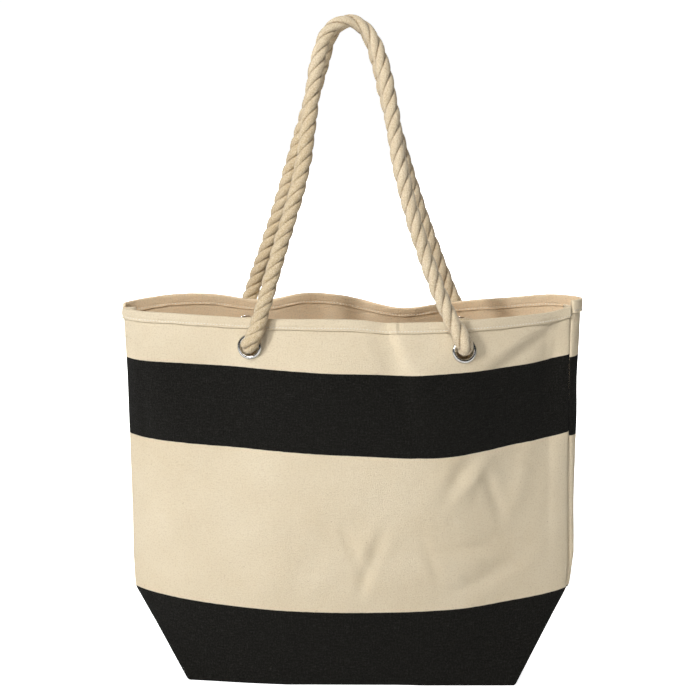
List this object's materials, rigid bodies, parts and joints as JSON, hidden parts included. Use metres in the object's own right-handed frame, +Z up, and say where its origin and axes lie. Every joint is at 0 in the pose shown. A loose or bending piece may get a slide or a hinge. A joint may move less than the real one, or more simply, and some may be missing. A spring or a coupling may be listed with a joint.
{
  "type": "rope-handled beach bag",
  "caption": "Open-topped canvas beach bag with a boxed base, printed bands, metal eyelets and two knotted rope handles that swing down outside.",
  "frame": {"origin": "middle of the base, on the surface that the bag stands on", "axes": "+Z up; +X along the bag's width, to the right seen from the front; -Y out of the front panel"},
  "size_m": [0.4784, 0.15, 0.6985],
  "materials": {
    "printed_canvas": "plain-weave cotton canvas, natural, with two matt black printed bands",
    "natural_canvas": "plain-weave cotton canvas, natural, unprinted",
    "cotton_rope": "three-strand laid cotton rope, natural",
    "eyelet_metal": "nickel-plated, polished"
  },
  "bodies": {
    "bag": {"front_panel": "printed_canvas", "back_panel": "printed_canvas", "base_panel": "printed_canvas", "front_rim_binding": "natural_canvas", "back_rim_binding": "natural_canvas", "left_side_seam": "natural_canvas", "right_side_seam": "natural_canvas", "left_corner_seam": "natural_canvas", "right_corner_seam": "natural_canvas", "front_left_eyelet": "eyelet_metal", "front_left_washer": "eyelet_metal", "front_left_knot": "cotton_rope", "front_right_eyelet": "eyelet_metal", "front_right_washer": "eyelet_metal", "front_right_knot": "cotton_rope", "back_left_eyelet": "eyelet_metal", "back_left_washer": "eyelet_metal", "back_left_knot": "cotton_rope", "back_right_eyelet": "eyelet_metal", "back_right_washer": "eyelet_metal", "back_right_knot": "cotton_rope"},
    "front_handle": {"front_handle_rope": "cotton_rope"},
    "back_handle": {"back_handle_rope": "cotton_rope"}
  },
  "joints": [
    {"name": "front_handle_swing", "type": "hinge", "parent": "bag", "child": "front_handle", "pos_m": [0, -0.0625, 0.37], "axis": [1, 0, 0], "range_deg": [0, 170]},
    {"name": "back_handle_swing", "type": "hinge", "parent": "bag", "child": "back_handle", "pos_m": [0, 0.0625, 0.37], "axis": [-1, 0, 0], "range_deg": [0, 170]}
  ]
}
